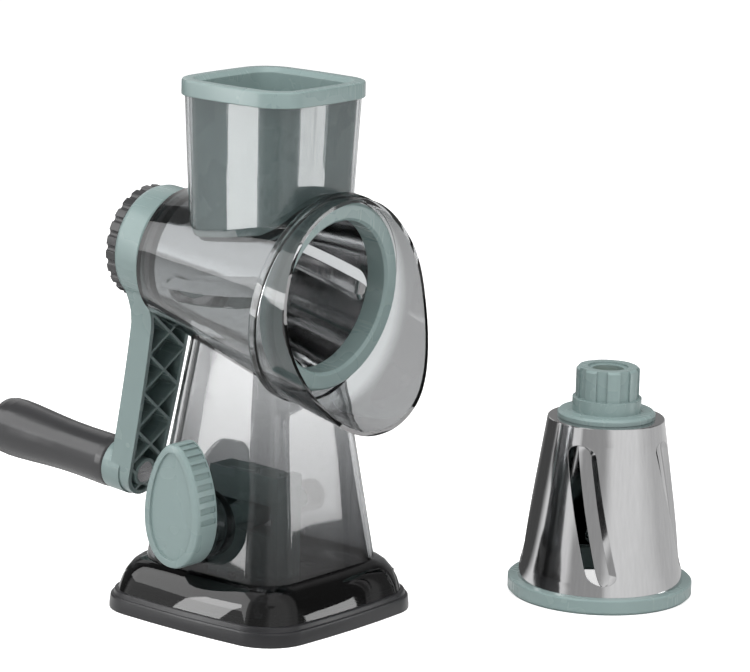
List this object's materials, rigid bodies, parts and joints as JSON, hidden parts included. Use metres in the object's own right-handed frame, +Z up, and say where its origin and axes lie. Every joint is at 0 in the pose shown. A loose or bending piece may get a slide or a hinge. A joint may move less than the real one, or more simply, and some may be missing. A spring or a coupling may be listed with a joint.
{
  "type": "rotary cabbage shredder",
  "caption": "Hand cranked drum shredder on a suction stand, with a square hopper, a clear hooded barrel, a slotted steel drum and another drum standing beside it.",
  "frame": {"origin": "middle of the base's underside, on the worktop", "axes": "+Z up; -Y towards the mouth of the barrel; +Y towards the crank; the suction knob is on the -X side"},
  "size_m": [0.2231, 0.2945, 0.235],
  "materials": {
    "black_plastic": "satin",
    "smoke_plastic": "clear, smoky, glossy",
    "clear_plastic": "clear, glossy",
    "grey_plastic": "glossy",
    "sage_plastic": "glossy",
    "black_rubber": "matte",
    "polished_steel": "mirror polished stainless steel",
    "steel": "bright",
    "brass": "machined"
  },
  "bodies": {
    "stand": {"base_ring": "black_plastic", "base_screws": "steel", "pedestal": "smoke_plastic", "upper_housing": "clear_plastic", "rear_bush": "grey_plastic"},
    "pusher": {"food_pusher": "sage_plastic"},
    "crank": {"crank_arm": "sage_plastic", "grip_axle": "steel"},
    "handle": {"grip": "grey_plastic"},
    "nut": {"lock_nut": "grey_plastic", "lock_stud": "steel"},
    "drum": {"drum_cone": "polished_steel", "drum_ring": "sage_plastic", "drum_hub": "sage_plastic", "hub_insert": "brass"},
    "knob": {"suction_knob": "sage_plastic", "cam_shaft": "sage_plastic", "shaft_washer": "steel", "shaft_screw": "steel"},
    "pad": {"suction_pad": "black_rubber", "pad_plate": "grey_plastic", "lift_tower": "sage_plastic", "pad_screws": "steel"},
    "second_drum": {"spare_cone": "polished_steel", "spare_ring": "sage_plastic", "spare_hub": "sage_plastic", "spare_insert": "brass"}
  },
  "joints": [
    {"name": "pusher_lift", "type": "slide", "parent": "stand", "child": "pusher", "axis": [0, 0, 1], "range_m": [0, 0.07]},
    {"name": "crank_spin", "type": "hinge", "parent": "stand", "child": "crank", "pos_m": [0, 0, 0.1483], "axis": [0, 0.9965, 0.0837], "continuous": true},
    {"name": "handle_spin", "type": "hinge", "parent": "crank", "child": "handle", "pos_m": [0, 0.00883, 0.04317], "axis": [0, 0.9965, 0.0837], "continuous": true},
    {"name": "nut_turn", "type": "hinge", "parent": "crank", "child": "nut", "pos_m": [0, 0, 0.1483], "axis": [0, 0.9965, 0.0837], "range_deg": [0, 360]},
    {"name": "drum_pull", "type": "slide", "parent": "crank", "child": "drum", "axis": [0, -0.9965, -0.0837], "range_m": [0, 0.11]},
    {"name": "knob_turn", "type": "hinge", "parent": "stand", "child": "knob", "pos_m": [0, 0.004, 0.043], "axis": [1, 0, 0], "range_deg": [0, 90]},
    {"name": "pad_lift", "type": "slide", "parent": "stand", "child": "pad", "axis": [0, 0, 1], "range_m": [0, 0.003]},
    {"name": "second_drum_lift", "type": "slide", "parent": "stand", "child": "second_drum", "axis": [0, 0, 1], "range_m": [0, 0.12]}
  ],
  "couplings": [
    {"joint": "pad_lift", "follows": "knob_turn", "m_per_rad": 0.0019099}
  ]
}
